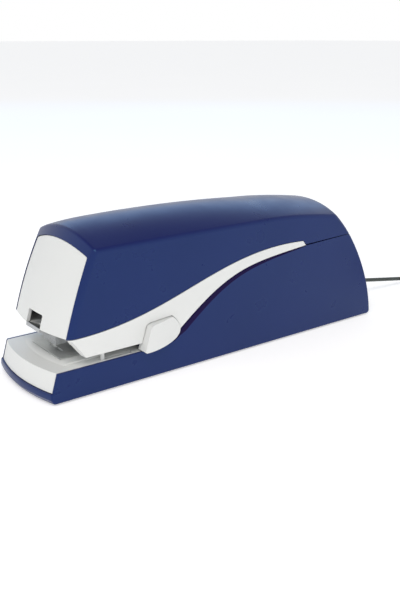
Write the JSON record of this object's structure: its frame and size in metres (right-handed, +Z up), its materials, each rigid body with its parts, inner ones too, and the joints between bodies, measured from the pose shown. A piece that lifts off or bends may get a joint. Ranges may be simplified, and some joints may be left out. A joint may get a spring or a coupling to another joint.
{
  "type": "electric stapler",
  "caption": "Long desk stapler with a bulging cover, tapering side bands, sprung side grips, a front-loading staple drawer, a geared motor drive and a coiled low-voltage lead.",
  "frame": {"origin": "on the table, under the middle of the stapler's own box, without its cord and adapter", "axes": "+Z up, the mouth and paper slot face -Y, the cord leaves at +Y, X across, mirrored about x = 0"},
  "size_m": [0.14, 0.4099, 0.0949],
  "materials": {
    "blue_shell": "satin moulded plastic, deep blue",
    "white_shell": "satin moulded plastic, cool white",
    "steel": "bright zinc-plated or bare spring steel",
    "dark_steel": "oiled pressed steel",
    "brass": "machined",
    "nylon": "natural nylon, greased",
    "black_plastic": "fine-grained black plastic",
    "rubber": "matt",
    "board": "solder-resist green",
    "cord": "soft PVC, dark grey"
  },
  "bodies": {
    "housing": {"top_cover": "blue_shell", "mid_frame": "white_shell", "lower_housing": "blue_shell", "bottom_cover": "black_plastic", "foot_front_left": "rubber", "foot_front_right": "rubber", "foot_rear_left": "rubber", "foot_rear_right": "rubber", "housing_screw_1": "steel", "housing_screw_2": "steel", "housing_screw_3": "steel", "housing_screw_4": "steel", "base_plate": "white_shell", "anvil": "steel", "anvil_beam": "dark_steel", "trigger_switch": "black_plastic", "release_spring_right": "steel", "release_spring_left": "steel", "return_spring": "steel", "chassis": "steel", "rocker_axle": "steel", "spring_anchor_pin": "steel", "idler_axle": "steel", "motor_can": "steel", "motor_end_cap": "black_plastic", "circuit_board": "board", "capacitor": "black_plastic", "relay": "black_plastic", "home_switch": "black_plastic", "dc_socket": "black_plastic", "dc_plug": "black_plastic", "cord": "cord", "cord_coil": "cord", "cord_end": "cord", "wall_adapter": "black_plastic", "adapter_pin_left": "brass", "adapter_pin_right": "brass"},
    "drawer": {"front_panel": "white_shell", "magazine_channel": "steel", "magazine_nose": "steel", "staple_rail": "dark_steel", "staple_strip": "steel", "pusher_spring": "steel"},
    "pusher": {"staple_pusher": "black_plastic"},
    "release_right": {"release_grip_right": "white_shell"},
    "release_left": {"release_grip_left": "white_shell"},
    "rocker": {"rocker_arm": "dark_steel", "cam_roller": "nylon", "roller_pin": "steel"},
    "driver": {"driver_holder": "black_plastic", "driver_blade": "steel"},
    "cam": {"cam_shaft": "dark_steel", "cam_gear": "nylon"},
    "idler": {"idler_gear": "nylon"},
    "pinion": {"motor_pinion": "brass"},
    "stop": {"paper_stop": "white_shell"},
    "trigger": {"paper_trigger": "black_plastic"}
  },
  "joints": [
    {"name": "drawer_slide", "type": "slide", "parent": "housing", "child": "drawer", "axis": [0, 1, 0], "range_m": [-0.065, 0]},
    {"name": "pusher_slide", "type": "slide", "parent": "drawer", "child": "pusher", "axis": [0, 1, 0], "range_m": [0, 0.022], "stiffness_N_per_m": 40, "springref_m": -0.02, "deforming": ["pusher_spring"]},
    {"name": "release_right_press", "type": "slide", "parent": "housing", "child": "release_right", "axis": [-1, 0, 0], "range_m": [0, 0.0025], "stiffness_N_per_m": 600, "springref_m": -0.001, "deforming": ["release_spring_right"]},
    {"name": "release_left_press", "type": "slide", "parent": "housing", "child": "release_left", "axis": [1, 0, 0], "range_m": [0, 0.0025], "stiffness_N_per_m": 600, "springref_m": -0.001, "deforming": ["release_spring_left"]},
    {"name": "rocker_swing", "type": "hinge", "parent": "housing", "child": "rocker", "pos_m": [0, 0.008, 0.0502], "axis": [1, 0, 0], "range_deg": [0, 5], "stiffness_Nm_per_rad": 0.5, "springref_deg": -11.46, "deforming": ["return_spring"]},
    {"name": "driver_slide", "type": "slide", "parent": "housing", "child": "driver", "axis": [0, 0, -1], "range_m": [0, 0.0105]},
    {"name": "cam_spin", "type": "hinge", "parent": "housing", "child": "cam", "pos_m": [0, -0.01, 0.068], "axis": [1, 0, 0], "continuous": true},
    {"name": "idler_spin", "type": "hinge", "parent": "housing", "child": "idler", "pos_m": [0.016, 0.01161, 0.06013], "axis": [1, 0, 0], "continuous": true},
    {"name": "pinion_spin", "type": "hinge", "parent": "housing", "child": "pinion", "pos_m": [0.018, 0.03155, 0.05084], "axis": [1, 0, 0], "continuous": true},
    {"name": "stop_slide", "type": "slide", "parent": "housing", "child": "stop", "axis": [0, 1, 0], "range_m": [0, 0.018]},
    {"name": "trigger_press", "type": "slide", "parent": "housing", "child": "trigger", "axis": [0, 1, 0], "range_m": [0, 0.004], "stiffness_N_per_m": 60, "springref_m": -0.002}
  ],
  "couplings": [
    {"joint": "driver_slide", "follows": "rocker_swing", "m_per_rad": 0.112},
    {"joint": "idler_spin", "follows": "cam_spin", "ratio": -2.8333},
    {"joint": "pinion_spin", "follows": "cam_spin", "ratio": 9.6333}
  ]
}
